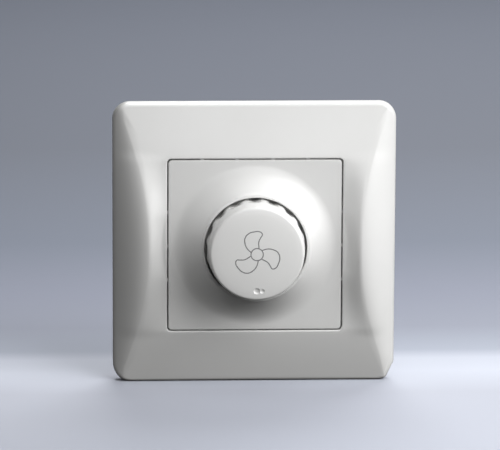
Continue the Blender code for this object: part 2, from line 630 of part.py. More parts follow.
def fuse(glass, metal, spring):
    x, y = FUSE
    bore, glass_radius, half = 1.9, 2.3, 9.2
    cap_bore, cap_radius = glass_radius + 0.1, glass_radius + 0.3
    make("fuse_tube", tube(bore, glass_radius, -half, half, FUSE, "Z", 20), glass)
    make("fuse_wire", rod(0.15, 0.1 - half, half - 0.1, FUSE, "Z", 8), metal)
    spring_in, spring_out, foot = cap_radius + 0.15, cap_radius + 0.5, LEG_REAR - 0.1 - y
    clip = [
        (-spring_out, -1.8), (-spring_in, -1.8), (-spring_in, 2.9), (spring_in, 2.9), (spring_in, -1.8),
        (spring_out, -1.8), (spring_out, 3.25), (0.4, 3.25), (0.4, foot), (-0.4, foot), (-0.4, 3.25),
        (-spring_out, 3.25),
    ]
    outline = [(x + u, y + v) for u, v in clip]
    for number, side in enumerate((1, -1), 1):
        cap = [
            (cap_bore, half - 4), (cap_radius, half - 4), (cap_radius, half + 0.6),
            (0, half + 0.6), (0, half + 0.2), (cap_bore, half + 0.2),
        ]
        cap = [(radius, side * along) for radius, along in cap]
        make(f"fuse_cap_{number}", turned(cap, FUSE, "Z", 20), metal)
        low, high = sorted((side * (half - 3.6), side * (half + 0.2)))
        make(f"fuse_clip_{number}", prism(outline, low, high, "Z"), spring)


def axial_part(name, radius, low, high, z, mat):
    """A small lacquered cylinder that lies along X on the board."""
    profile = [
        (0, low), (radius * 0.7, low), (radius, low + 0.6),
        (radius, high - 0.6), (radius * 0.7, high), (0, high),
    ]
    make(name, turned(profile, (PART_REAR - 1.3, z), "X", 16), mat)


def trigger_parts(beige, glass, film, blue, white):
    left = 2.8 - INSIDE_X
    axial_part("resistor_1", 1.05, left, left + 6.4, -3.3, beige)
    axial_part("resistor_2", 1.05, left, left + 6.4, -5.8, beige)
    axial_part("diac", 0.9, 6.8, 9.8, -7.3, glass)
    film_low = BLOCK_TOP + 0.7
    make("timing_capacitor", box(left - 0.8, left + 4.2, 8.6, PART_REAR, film_low, film_low + 2.7), film)
    x, z = TRIMMER
    front = PART_REAR - 4.5
    make("trimmer_body", box(x - 2.8, x + 2.8, front, PART_REAR, z - 2.8, z + 2.8), blue)
    face = front - 1.2
    make("trimmer_rotor", rod(2, face, front - REST_GAP, TRIMMER), white, origin=(x, face, z), cut=[
        box(x - 3, x + 3, face - 0.2, face + 0.4, z - 0.3, z + 0.3),
    ])


def circuit_board(board):
    half, top, corner = INSIDE_X - 0.8, INSIDE_Z - 0.8, 5
    low = BLOCK_TOP + REST_GAP
    outline = [(-half, low), (half, low), (half, top - corner), (half - corner, top)]
    outline += [(corner - half, top), (-half, top - corner)]
    make("circuit_board", prism(outline, BOARD_FRONT, BOARD_FRONT + BOARD_THICKNESS), board)


def terminal_block(plastic):
    half, corner = INSIDE_X - 2.2, 3.5
    outline = [(-half, BLOCK_TOP), (-half, BLOCK_BOTTOM + corner), (corner - half, BLOCK_BOTTOM)]
    outline += [(-x, z) for x, z in reversed(outline)]
    low, high = TERMINAL_Z - POCKET_HALF, TERMINAL_Z + POCKET_HALF
    slot_half = POCKET_HALF - 1.6
    cut = []
    for x in TERMINALS:
        cut.append(box(x - POCKET_HALF, x + POCKET_HALF, POCKET_FRONT, POCKET_REAR, low, high))
        neck = WIRE_HEAD_RADIUS + 0.2
        cut.append(rod(neck, POCKET_REAR - 0.3, BLOCK_REAR + 1, (x, TERMINAL_Z)))
        cut.append(rod(WIRE_HOLE_RADIUS, BLOCK_BOTTOM - 1, low + 0.4, (x, WIRE_Y), "Z", segments=16))
        slot_y = (TONGUE_FRONT - REST_GAP, TONGUE_REAR + REST_GAP)
        cut.append(box(x - slot_half, x + slot_half, *slot_y, high - 0.3, BLOCK_TOP + 1))
    make("terminal_block", prism(outline, BLOCK_FRONT, BLOCK_REAR), plastic, cut=cut)


def terminals(steel, metal):
    """At each wire, a cage that its screw draws back against a fixed tongue."""
    window = CAGE_HALF - CAGE_WALL
    rear = CAGE_FRONT + CAGE_LENGTH
    tip = TONGUE_REAR + 0.2
    head, head_end = POCKET_REAR + REST_GAP, BLOCK_REAR - 0.2
    tongue_half = window - 0.6
    foot = TERMINAL_Z + 6
    for number, x in enumerate(TERMINALS, 1):
        low, high = TERMINAL_Z - CAGE_HALF, TERMINAL_Z + CAGE_HALF
        cage = box(x - CAGE_HALF, x + CAGE_HALF, CAGE_FRONT, rear, low, high)
        make(f"terminal_cage_{number}", cage, steel, cut=[
            box(x - window, x + window, CAGE_FRONT + CAGE_WALL, rear - 1.2, low - 1, high + 1),
            rod(WIRE_SCREW_RADIUS + 0.1, rear - 1.4, rear + 1, (x, TERMINAL_Z), segments=16),
        ])
        profile = [
            (0, tip), (WIRE_SCREW_RADIUS - 0.4, tip), (WIRE_SCREW_RADIUS, tip + 0.4),
            (WIRE_SCREW_RADIUS, head), (WIRE_HEAD_RADIUS, head), (WIRE_HEAD_RADIUS, head_end), (0, head_end),
        ]
        slot_box = box(x - 3, x + 3, head_end - 0.7, head_end + 1, TERMINAL_Z - 0.3, TERMINAL_Z + 0.3)
        screw = turned(profile, (x, TERMINAL_Z), segments=20)
        make(f"terminal_screw_{number}", screw, steel, origin=(x, tip, TERMINAL_Z), cut=[slot_box])
        blade = box(x - tongue_half, x + tongue_half, TONGUE_FRONT, TONGUE_REAR, TERMINAL_Z - 3, foot + 0.8)
        pin = box(x - 0.5, x + 0.5, TONGUE_FRONT + 0.5, LEG_REAR, foot, foot + 0.8)
        make(f"terminal_tongue_{number}", blade, metal, add=[pin])


def claw_outline():
    """A claw about its pin, for the right side: its toothed end, its arm, its foot and its barrel."""
    inner, outer = -1.5, CLAW_THICKNESS - 1.5
    tooth_top, reach = CLAW_LENGTH - CLAW_THICKNESS, 3.4
    teeth = [(outer + (reach - outer) * k / 7, tooth_top - 0.4 * (k % 2)) for k in range(8)]
    foot = CLAW_BARREL / sqrt(2)
    foot_end = CLAW_SCREW_OFFSET + 2.5
    turns = (radians(45 - 197 * k / 14) for k in range(15))
    barrel = [(CLAW_BARREL * cos(t), CLAW_BARREL * sin(t)) for t in turns]
    return [
        (inner, CLAW_LENGTH), (reach, CLAW_LENGTH), *reversed(teeth), (outer, foot + CLAW_THICKNESS),
        (foot_end, foot + CLAW_THICKNESS), (foot_end, foot), *barrel,
    ]


def claws(steel):
    """On each side, a claw on a pin, with the screw that pulls its foot and so swings its tooth out."""
    pivot_x, pivot_y = CLAW_PIVOT
    half = CLAW_WIDTH / 2
    hole_radius = CLAW_SCREW_RADIUS + 0.3
    for name, side in SIDES:
        pivot = (side * pivot_x, pivot_y)
        outline = [(side * (pivot_x + u), pivot_y + v) for u, v in claw_outline()]
        hole = circle(*pivot, CLAW_PIN_RADIUS + 0.1, 16)
        reach = sorted(side * (pivot_x + CLAW_SCREW_OFFSET + u) for u in (-2.3, hole_radius))
        slot_box = box(*reach, pivot_y + 1, pivot_y + 4, -hole_radius, hole_radius)
        claw = prism(outline, -half, half, "Z", [hole])
        make(f"claw_{name}", claw, steel, origin=(*pivot, 0), cut=[slot_box])
        make(f"claw_pin_{name}", rod(CLAW_PIN_RADIUS, -half - 2.6, half + 2.6, pivot, "Z", 16), steel)

        x = side * CLAW_SCREW_X
        seat = -STRAP_THICKNESS - REST_GAP
        head = CLAW_SCREW_RADIUS + 1
        screw = turned([
            (0, seat - 1.7), (head - 0.5, seat - 1.7), (head, seat - 1.3), (head, seat),
            (CLAW_SCREW_RADIUS, seat), (CLAW_SCREW_RADIUS, CLAW_SCREW_TIP - 0.4),
            (CLAW_SCREW_RADIUS - 0.4, CLAW_SCREW_TIP), (0, CLAW_SCREW_TIP),
        ], (x, 0), segments=20)
        slot_box = box(x - 3, x + 3, seat - 2, seat - 1, -0.4, 0.4)
        make(f"claw_screw_{name}", screw, steel, origin=(x, 0, 0), cut=[slot_box])


def rivets(steel):
    head = RIVET_RADIUS + 0.9
    front, rear = -STRAP_THICKNESS - REST_GAP, CARRIER_REAR + REST_GAP
    for name, side in (("top", 1), ("bottom", -1)):
        profile = [
            (0, front - 0.6), (head - 0.4, front - 0.6), (head, front - 0.3), (head, front),
            (RIVET_RADIUS, front), (RIVET_RADIUS, rear), (head, rear), (head, rear + 0.7), (0, rear + 0.7),
        ]
        make(f"rivet_{name}", turned(profile, (0, side * RIVET_Z), segments=20), steel)


def build():
    clear_scene()
    white = material("white_thermoplastic", (0.86, 0.86, 0.85), 0.32)
    grey = material("dark_grey_insulating_plastic", (0.16, 0.165, 0.17), 0.5)
    natural = material("natural_polyamide", (0.72, 0.7, 0.64), 0.45)
    black = material("black_epoxy", (0.02, 0.02, 0.022), 0.4)
    beige = material("resistor_lacquer", (0.62, 0.47, 0.3), 0.4)
    blue = material("blue_plastic", (0.05, 0.16, 0.5), 0.4)
    film = material("film_capacitor_lacquer", (0.45, 0.06, 0.03), 0.35)
    laminate = material("circuit_laminate", (0.32, 0.2, 0.08), 0.5)
    glass = material("fuse_glass", (0.75, 0.8, 0.78), 0.08)
    ferrite = material("ferrite", (0.05, 0.05, 0.052), 0.6)
    copper = material("enamelled_copper", (0.55, 0.2, 0.06), 0.3, 1)
    zinc = material("zinc_plated_steel", (0.6, 0.61, 0.63), 0.35, 1)
    spring = material("spring_steel", (0.45, 0.45, 0.46), 0.3, 1)
    brass = material("nickel_plated_brass", (0.7, 0.68, 0.62), 0.28, 1)
    tinned = material("tinned_copper", (0.7, 0.7, 0.68), 0.25, 1)
    aluminium = material("aluminium", (0.75, 0.76, 0.77), 0.4, 1)

    outer_frame(white)
    centre_plate(white)
    knob(white)
    shaft_parts(natural, aluminium, spring)
    front_hardware(spring, brass)
    support_strap(zinc)
    carrier_plate(zinc)
    housing_shell(grey)
    potentiometer(zinc, brass, laminate, tinned)
    off_switch(zinc, spring)
    power_parts(black, aluminium, zinc)
    filter_parts(black, ferrite, copper)
    fuse(glass, tinned, spring)
    trigger_parts(beige, glass, film, blue, natural)
    circuit_board(laminate)
    terminal_block(natural)
    terminals(zinc, tinned)
    claws(zinc)
    rivets(zinc)


build()
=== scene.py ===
"""The looks of a flush wall-mounted rotary fan speed control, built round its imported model.

Lengths in the shape functions are millimetres from the knob's axis and from the wall. Depth is the distance
in front of the wall, so a point of the face at depth d has y = -d. to_metres() makes them scene units.
"""

import json
from itertools import chain
from math import atan2, cos, hypot, pi, radians, sin

import bpy
from mathutils import Matrix, Quaternion, Vector


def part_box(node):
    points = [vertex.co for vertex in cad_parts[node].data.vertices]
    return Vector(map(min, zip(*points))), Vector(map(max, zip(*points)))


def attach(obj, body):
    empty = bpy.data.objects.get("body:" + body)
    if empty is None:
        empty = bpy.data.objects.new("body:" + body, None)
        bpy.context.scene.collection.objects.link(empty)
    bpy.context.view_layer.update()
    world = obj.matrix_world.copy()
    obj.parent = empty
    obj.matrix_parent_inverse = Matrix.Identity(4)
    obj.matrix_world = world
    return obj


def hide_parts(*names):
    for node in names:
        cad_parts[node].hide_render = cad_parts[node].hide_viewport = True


MM = 0.001
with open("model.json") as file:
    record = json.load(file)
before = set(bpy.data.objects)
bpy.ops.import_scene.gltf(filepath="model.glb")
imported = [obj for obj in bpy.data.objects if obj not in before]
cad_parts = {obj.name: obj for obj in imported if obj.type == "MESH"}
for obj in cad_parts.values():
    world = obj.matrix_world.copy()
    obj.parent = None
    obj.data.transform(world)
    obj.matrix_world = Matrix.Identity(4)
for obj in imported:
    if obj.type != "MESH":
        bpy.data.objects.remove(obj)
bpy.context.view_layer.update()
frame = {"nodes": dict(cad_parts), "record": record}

BODY_OF = {node: body for body, nodes in frame["record"]["behaviour"]["bodies"].items() for node in nodes}
SLOT_OF = {row["node"]: row["material_slot"] for row in frame["record"]["subparts"]}


def extent(node):
    """A node's lowest and highest corner in millimetres."""
    low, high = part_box(node)
    return [value / MM for value in low], [value / MM for value in high]


FRAME_HALF = extent("outer_frame")[1][0]
RIDGE_DEPTH = -extent("outer_frame")[0][1]
PLATE_HALF = extent("centre_plate")[1][0]
DOME_DEPTH = -extent("centre_plate")[0][1]
WELL_FLOOR_REAR = -extent("centre_plate")[1][1]
KNOB_RADIUS = extent("knob")[1][0]
KNOB_DEPTH = -extent("knob")[0][1]
KNOB_SKIRT_DEPTH = -extent("knob")[1][1]

# Frame
OPENING_HALF = PLATE_HALF + 0.4
RIM_DEPTH = 8.3
EDGE_DEPTH = 5.0
SIDE_EDGE_DEPTH = 3.2
FRAME_CORNER = 5.0
RIM_ROUNDING = 0.42
EDGE_ROUNDING = 1.1
RIM_CORNER = 1.2
FRAME_WALL = 2.0
FRAME_SKIN = 2.2
RIDGE_OFFSET = 4.9
RIDGE_BOW = 0.0047
RIDGE_END = 2.0
RIDGE_ROUNDING = 0.5
ARCH_FALL = 1.15
RIDGE_FADE = 1.1
WING_FALL = 1.8
RIB_PLACES_ACROSS = (-15.3, -5.2, 5.2, 15.3)
RIB_HEIGHTS = (-10.4, -0.4, 9.6)
LENS_HALF_HEIGHT = 9.0
LENS_SHARE = 0.3

# Centre plate
PLATE_DEPTH = 8.0
PLATE_CORNER = 1.0
PLATE_ROUNDING = 0.22
DOME_FOOT = PLATE_HALF - 1.2
WELL_RADIUS = KNOB_RADIUS + 0.5
DOME_LIP = 0.9
DOME_RIM = WELL_RADIUS + DOME_LIP / 2

# Knob
FLUTES = 16
FLUTE_SCOOP = 0.75
DIMPLES = ((1.05, 0.0), (0.85, 1.55))  # radius, distance to the right
SYMBOL_HUB = 1.76
SYMBOL_LINE = 0.3
SYMBOL_FLATNESS = 0.12

# Screws
SHANK_RADIUS = 1.5
SCREW_SIDES = 28
THREAD_PITCH = 0.5
THREAD_DEPTH = 0.26


def deselect():
    bpy.ops.object.select_all(action="DESELECT")


def activate(obj):
    deselect()
    obj.select_set(True)
    bpy.context.view_layer.objects.active = obj


def to_metres(point):
    return Vector(point) * MM


MERGE_DISTANCE = 0.002


def clean_up(obj):
    """Merges doubles and turns the faces outwards."""
    activate(obj)
    bpy.ops.object.mode_set(mode="EDIT")
    bpy.ops.mesh.select_all(action="SELECT")
    bpy.ops.mesh.remove_doubles(threshold=MERGE_DISTANCE * MM)
    bpy.ops.mesh.normals_make_consistent(inside=False)
    bpy.ops.object.mode_set(mode="OBJECT")


def smooth(obj, angle=35):
    activate(obj)
    bpy.ops.object.shade_smooth_by_angle(angle=radians(angle))


def apply_modifiers(obj):
    activate(obj)
    for modifier in list(obj.modifiers):
        bpy.ops.object.modifier_apply(modifier=modifier.name)


def bevel(obj, width, segments, angle):
    """Rounds the sharp edges by a width in millimetres."""
    modifier = obj.modifiers.new("rounding", "BEVEL")
    modifier.width = width * MM
    modifier.segments = segments
    modifier.limit_method = "ANGLE"
    modifier.angle_limit = radians(angle)
    modifier.use_clamp_overlap = True
    modifier.harden_normals = False
    apply_modifiers(obj)


def boolean(obj, other):
    """Cuts the other piece out of this one."""
    modifier = obj.modifiers.new("cut", "BOOLEAN")
    modifier.operation = "DIFFERENCE"
    modifier.solver = "EXACT"
    modifier.object = other
    apply_modifiers(obj)
    bpy.data.objects.remove(other, do_unlink=True)


def settle(obj):
    """Puts the piece's place, turn and size into its mesh, and its object at the origin."""
    activate(obj)
    bpy.ops.object.transform_apply(location=True, rotation=True, scale=True)


def arc(start, corner, end, steps):
    """A rounded corner from start to end, bent towards the corner point."""
    shares = (k / steps for k in range(steps + 1))
    return [
        tuple(a * (1 - t) ** 2 + 2 * b * t * (1 - t) + c * t * t for a, b, c in zip(start, corner, end))
        for t in shares
    ]


def rounded_square(half, radius, side_steps, corner_steps):
    """Points round a square, as many for any size, so that two outlines match point for point."""
    flat = half - radius
    side = [(half, flat * (2 * k / side_steps - 1)) for k in range(side_steps)]
    turns = (pi / 2 * k / corner_steps for k in range(corner_steps))
    corner = [(flat + radius * cos(t), flat + radius * sin(t)) for t in turns]
    points = []
    for cosine, sine in ((1, 0), (0, 1), (-1, 0), (0, -1)):
        points += [(u * cosine - v * sine, u * sine + v * cosine) for u, v in side + corner]
    return points


def ring_of_sections(name, sections):
    """A ring with one closed section after another, shaped from a torus with as many rows and columns."""
    deselect()
    bpy.ops.mesh.primitive_torus_add(
        major_segments=len(sections), minor_segments=len(sections[0]), generate_uvs=False
    )
    obj = bpy.context.object
    obj.name = name
    for vertex, point in zip(obj.data.vertices, chain.from_iterable(sections)):
        vertex.co = to_metres(point)
    clean_up(obj)
    smooth(obj)
    return obj


def start_at(name, point):
    """A new piece in edit mode that is one selected vertex at a point in millimetres."""
    deselect()
    bpy.ops.mesh.primitive_plane_add(size=1)
    obj = bpy.context.object
    obj.name = name
    bpy.ops.object.mode_set(mode="EDIT")
    bpy.ops.mesh.select_all(action="SELECT")
    bpy.ops.mesh.merge(type="CENTER")
    bpy.ops.transform.translate(value=to_metres(point))
    return obj


def lathe(name, profile, segments, centre=(0, 0)):
    """A profile of (radius, distance along Y) in millimetres, spun round Y, with closed poles."""
    points = [(centre[0] + radius, distance, centre[1]) for radius, distance in profile]
    obj = start_at(name, points[0])
    for last, point in zip(points, points[1:]):
        step = to_metres(point) - to_metres(last)
        bpy.ops.mesh.extrude_vertices_move(TRANSFORM_OT_translate={"value": step})
    bpy.ops.mesh.select_all(action="SELECT")
    middle = to_metres((centre[0], 0, centre[1]))
    bpy.ops.mesh.spin(steps=segments, angle=2 * pi, center=middle, axis=(0, 1, 0))
    bpy.ops.object.mode_set(mode="OBJECT")
    clean_up(obj)
    return obj


def box(name, low, high):
    """A block between two corners in millimetres."""
    deselect()
    centre = [(a + b) / 2 * MM for a, b in zip(low, high)]
    size = [(b - a) * MM for a, b in zip(low, high)]
    bpy.ops.mesh.primitive_cube_add(size=1, location=centre, scale=size)
    obj = bpy.context.object
    obj.name = name
    settle(obj)
    return obj


# ---------------------------------------------------------------- frame


def ease(share):
    """A ramp from 0 to 1 that starts and ends a little softly."""
    share = min(max(share, 0), 1)
    return 0.45 * share + 0.55 * share * share * (3 - 2 * share)


def ridge_x(z):
    """Where the arc that bounds each side wing crosses the height z."""
    return OPENING_HALF + RIDGE_OFFSET + RIDGE_BOW * z * z


def arch_depth(z):
    fall = (max(z - PLATE_HALF, 0) / (FRAME_HALF - PLATE_HALF)) ** ARCH_FALL
    return RIM_DEPTH - (RIM_DEPTH - EDGE_DEPTH) * fall


def ridge_depth(z):
    """The ridge stands proud of the arch beside the plate only, a little past its corners."""
    rise = max(1 - (z / (PLATE_HALF + RIDGE_END)) ** 2, 0) ** RIDGE_FADE
    return arch_depth(z) + (RIDGE_DEPTH - RIM_DEPTH) * rise


def slope_start(z):
    """The share of the way to the ridge that stays flat: a lens beside the opening."""
    return LENS_SHARE * max(1 - (z / LENS_HALF_HEIGHT) ** 2, 0)


def face_depth(x, z):
    """How far the frame's face stands off the wall."""
    x, z = abs(x), abs(z)
    crest, ridge = ridge_x(z), ridge_depth(z)
    if x > crest:
        share = (x - crest) / (FRAME_HALF - crest)
        return SIDE_EDGE_DEPTH + (ridge - SIDE_EDGE_DEPTH) * (1 - min(share, 1) ** WING_FALL)
    arch = arch_depth(z)
    flat = slope_start(z)
    share = (x - OPENING_HALF) / (crest - OPENING_HALF)
    return arch + (ridge - arch) * ease((share - flat) / (1 - flat))


def ridge_share(inner, outer):
    """How far along the line from the opening to the outer edge the ridge stands, and whether it does."""
    low, high = 0.0, 1.0
    for _ in range(30):
        middle = (low + high) / 2
        x, z = (a + (b - a) * middle for a, b in zip(inner, outer))
        low, high = (middle, high) if abs(x) < ridge_x(z) else (low, middle)
    return (low, True) if low < 0.97 else (0.6 + 0.3 * (inner[0] / OPENING_HALF) ** 4, False)


def frame_section(inner, outer):
    """One closed section of the frame, from its ledge over the face and round behind the skin."""
    length = hypot(outer[0] - inner[0], outer[1] - inner[1])

    def at(offset):
        return [a + (b - a) * offset / length for a, b in zip(inner, outer)]

    def depth(offset):
        return face_depth(*at(offset))

    share, crosses = ridge_share(inner, outer)
    crest = share * length
    softness = RIDGE_ROUNDING * (1 + 0.3 * (at(crest)[1] / 18) ** 4)
    half = min(softness, crest / 3, (length - crest) * 0.45)
    rim, edge = RIM_ROUNDING, EDGE_ROUNDING
    offsets = [rim + (crest - half - rim) * k / 14 for k in range(1, 14)]
    profile = arc((0, depth(0) - rim), (0, depth(0)), (rim, depth(rim)), 5)
    profile += [(o, depth(o)) for o in offsets]
    before, after = crest - half, crest + half
    if crosses:
        profile += arc((before, depth(before)), (crest, depth(crest)), (after, depth(after)), 6)
    else:
        profile += [(before + 2 * half * k / 6, depth(before + 2 * half * k / 6)) for k in range(7)]
    last = length - edge
    offsets = [after + (last - after) * k / 22 for k in range(1, 22)]
    profile += [(o, depth(o)) for o in offsets]
    profile += arc((last, depth(last)), (length, depth(length)), (length, depth(length) - edge), 7)
    wall = length - FRAME_WALL
    profile += [(length, 2.0)]
    profile += arc((length, 0.3), (length, 0), (length - 0.3, 0), 3)
    profile += arc((wall + 0.2, 0), (wall, 0), (wall, 0.2), 2)
    under_crest = max(min(crest, wall - 1), 2.1)
    profile += [(wall, depth(length) - 1.1 * FRAME_SKIN), (under_crest, depth(under_crest) - FRAME_SKIN)]
    profile += [(1.6, depth(1.6) - FRAME_SKIN), (1.6, 3.5), (-1.5, 3.5)]
    profile += arc((-1.6, 3.6), (-1.6, 4.9), (-1.4, 4.9), 2)
    profile += [(0, 4.9), (0, 6.2)]
    return [(x, -d, z) for (x, z), d in ((at(o), d) for o, d in profile)]


def make_frame():
    steps = (52, 14)
    opening = rounded_square(OPENING_HALF, RIM_CORNER, *steps)
    outline = rounded_square(FRAME_HALF, FRAME_CORNER, *steps)
    obj = ring_of_sections("frame_face", [frame_section(a, b) for a, b in zip(opening, outline)])
    near, far, front, rear = PLATE_HALF + 0.03, OPENING_HALF + 0.3, -7.35, -5.5
    ribs = [box("rib", (x - 0.5, front, near), (x + 0.5, rear, far)) for x in RIB_PLACES_ACROSS]
    ribs += [box("rib", (-far, front, z - 0.5), (-near, rear, z + 0.5)) for z in RIB_HEIGHTS]
    ribs += [box("rib", (near, front, z - 0.5), (far, rear, z + 0.5)) for z in RIB_HEIGHTS]
    deselect()
    for rib in ribs:
        rib.select_set(True)
    obj.select_set(True)
    bpy.context.view_layer.objects.active = obj
    bpy.ops.object.join()
    smooth(obj)
    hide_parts("outer_frame")
    return obj


# ---------------------------------------------------------------- centre plate


def dome_depth(radius):
    share = (DOME_FOOT - radius) / (DOME_FOOT - DOME_RIM)
    height = DOME_DEPTH - PLATE_DEPTH
    return PLATE_DEPTH + height * (1.5 * share - 0.5 * (1 - (1 - share) ** 3))


def make_plate():
    """The square plate with its flared dome, the well for the knob and the stepped border behind."""
    edge = rounded_square(PLATE_HALF, PLATE_CORNER, 44, 10)

    def rings(profile):
        return [[(r * cos(t), -d, r * sin(t)) for r, d in profile] for t in (atan2(z, x) for x, z in edge)]

    def borders(profile):
        return [
            [(x * (1 - inset / PLATE_HALF), -d, z * (1 - inset / PLATE_HALF)) for inset, d in profile]
            for x, z in edge
        ]

    hole, floor = 4.9, WELL_FLOOR_REAR + 2
    lip = WELL_RADIUS + DOME_LIP
    well = [(hole, floor), (WELL_RADIUS - 0.6, floor)]
    well += arc((WELL_RADIUS - 0.5, floor), (WELL_RADIUS, floor), (WELL_RADIUS, floor + 0.5), 3)
    well += arc(
        (WELL_RADIUS, DOME_DEPTH - 0.3), (WELL_RADIUS, DOME_DEPTH), (WELL_RADIUS + 0.3, DOME_DEPTH), 4
    )
    radii = [lip + (DOME_FOOT - lip) * k / 26 for k in range(1, 27)]
    flare = [(radius, dome_depth(radius)) for radius in radii]
    well += arc((lip - 0.35, DOME_DEPTH), (lip, DOME_DEPTH), flare[0], 3)
    corner = arc((PLATE_ROUNDING, PLATE_DEPTH), (0, PLATE_DEPTH), (0, PLATE_DEPTH - PLATE_ROUNDING), 4)
    front = borders([(0.8, PLATE_DEPTH), *corner])
    skirt = [(0, 5.4), (0.2, 5.2), (1.5, 5.2), (1.5, 6)]
    behind = [(22, 6), (19.5, 7.3), (16.6, 10.4), (16.6, 4.6), (hole, 4.6)]
    parts = zip(rings(well + flare[1:]), front, borders(skirt), rings(behind))
    obj = ring_of_sections("plate_face", [list(chain.from_iterable(part)) for part in parts])
    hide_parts("centre_plate")
    return obj


# ---------------------------------------------------------------- knob


def make_knob():
    """The knob: a turned cap with a slightly domed face, scooped at its grips, with two dimples."""
    front, skirt, r = -KNOB_DEPTH, -KNOB_SKIRT_DEPTH, KNOB_RADIUS
    inside, hub, bore = r - 1.45, 4.5, 3.2
    profile = [(0, front), (3, front + 0.02), (6, front + 0.08), (9, front + 0.2), (r - 3, front + 0.34)]
    profile += arc((r - 1.55, front + 0.5), (r - 0.8, front + 0.58), (r - 0.72, front + 1.45), 8)
    profile += [(r - 0.68 + 0.58 * k / 12, front + 2.0 + 5.9 * k / 12) for k in range(13)]
    profile += [(r - 0.05, skirt - 0.6)]
    profile += arc((r - 0.02, skirt - 0.2), (r, skirt), (r - 0.2, skirt), 2)
    profile += [(inside, skirt), (inside - 0.5, front + 2.4), (hub, front + 2.4)]
    profile += [(hub, -11), (bore, -11), (bore, front + 2.9), (0, front + 2.9)]
    obj = lathe("knob_cap", profile, segments=FLUTES * 16)
    pitch = 2 * pi / FLUTES
    for vertex in obj.data.vertices:
        x, y, z = (value / MM for value in vertex.co)
        radius = hypot(x, z)
        if radius < r - 0.9 or y < front + 2.5:
            continue
        offset = ((atan2(z, x) - radians(92) + pitch / 2) % pitch - pitch / 2) / (0.45 * pitch)
        fade = min(max((y - front - 5.4) / 2.3, 0), 1)
        fade = fade * fade * (3 - 2 * fade)
        scoop = FLUTE_SCOOP * fade * cos(pi / 2 * min(abs(offset), 1)) ** 2
        vertex.co.x *= 1 - scoop / radius
        vertex.co.z *= 1 - scoop / radius
    cutter_z = 3.5 - r
    for radius, x in DIMPLES:
        deselect()
        bpy.ops.mesh.primitive_uv_sphere_add(segments=32, ring_count=16, radius=radius * 1.25 * MM)
        dimple = bpy.context.object
        dimple.location = to_metres((x, front - 0.55 * radius, cutter_z))
        settle(dimple)
        boolean(obj, dimple)
    clean_up(obj)
    smooth(obj, 30)
    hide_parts("knob")
    return obj


def face_at(radius):
    """The depth of the knob's domed face."""
    return KNOB_DEPTH - 0.08 * (radius / 6) ** 2


def make_symbol():
    """The printed line symbol: a hub circle and three blades, as thin strips that follow the domed face."""
    outline = [
        (1.85, 74), (3.92, 82.5), (5.01, 78.3), (6.1, 76.1), (6.66, 83.4), (6.68, 97.1),
        (6.59, 110.4), (5.99, 125), (4.78, 137), (3.46, 147.8), (1.89, 160.3),
    ]
    loops = [([(SYMBOL_HUB, 360 * k / 12) for k in range(12)], True)]
    loops += [([(r, t + 120 * blade) for r, t in outline], False) for blade in range(3)]
    pieces = []
    for points, closed in loops:
        curve = bpy.data.curves.new("symbol_line", "CURVE")
        curve.dimensions = "3D"
        curve.resolution_u = 10
        curve.bevel_depth = SYMBOL_LINE / 2 * MM
        curve.bevel_resolution = 2
        curve.use_fill_caps = True
        spline = curve.splines.new("BEZIER")
        spline.bezier_points.add(len(points) - 1)
        for knot, (r, t) in zip(spline.bezier_points, points):
            knot.co = to_metres((r * cos(radians(t)), -face_at(r), r * sin(radians(t))))
            knot.handle_left_type = knot.handle_right_type = "AUTO"
        spline.use_cyclic_u = closed
        pieces.append(bpy.data.objects.new("symbol_line", curve))
        bpy.context.collection.objects.link(pieces[-1])
    deselect()
    for piece in pieces:
        piece.select_set(True)
    bpy.context.view_layer.objects.active = pieces[0]
    bpy.ops.object.convert(target="MESH")
    bpy.ops.object.join()
    obj = bpy.context.object
    obj.name = "knob_symbol"
    for vertex in obj.data.vertices:
        surface = -face_at(hypot(vertex.co.x, vertex.co.z) / MM) * MM
        vertex.co.y = surface + (vertex.co.y - surface) * SYMBOL_FLATNESS
    return obj


# ---------------------------------------------------------------- insert behind the face


# Edge rounding in millimetres by the kind of piece. A stamped part is a little sharper than a moulded one.
EDGES = {
    "housing_shell": 0.35, "terminal_block": 0.2, "carrier_plate": 0.12, "support_strap": 0.12,
    "plate_nut": 0.22, "strap_nut": 0.22, "lock_washer": 0.06, "knob_clip": 0.06, "pot_can": 0.18,
    "claw_left": 0.1, "claw_right": 0.1, "x_capacitor": 0.25, "trimmer_body": 0.2, "heat_sink": 0.1,
    "triac": 0.12, "switch_can": 0.15, "circuit_board": 0.1,
}
OTHER_EDGES = 0.07
SHARP_ANGLE = 32


def softened(node, width, segments=2):
    """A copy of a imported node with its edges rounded, standing in for the node."""
    source = frame["nodes"][node]
    obj = source.copy()
    obj.data = source.data.copy()
    obj.name = node + "_made"
    obj.parent = None
    bpy.context.collection.objects.link(obj)
    obj.matrix_world = Matrix.Identity(4)
    clean_up(obj)
    bpy.ops.object.mode_set(mode="EDIT")
    bpy.ops.mesh.select_all(action="SELECT")
    bpy.ops.mesh.dissolve_limited(angle_limit=radians(1.0))
    bpy.ops.object.mode_set(mode="OBJECT")
    bevel(obj, width, segments, SHARP_ANGLE)
    smooth(obj, SHARP_ANGLE)
    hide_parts(node)
    return obj


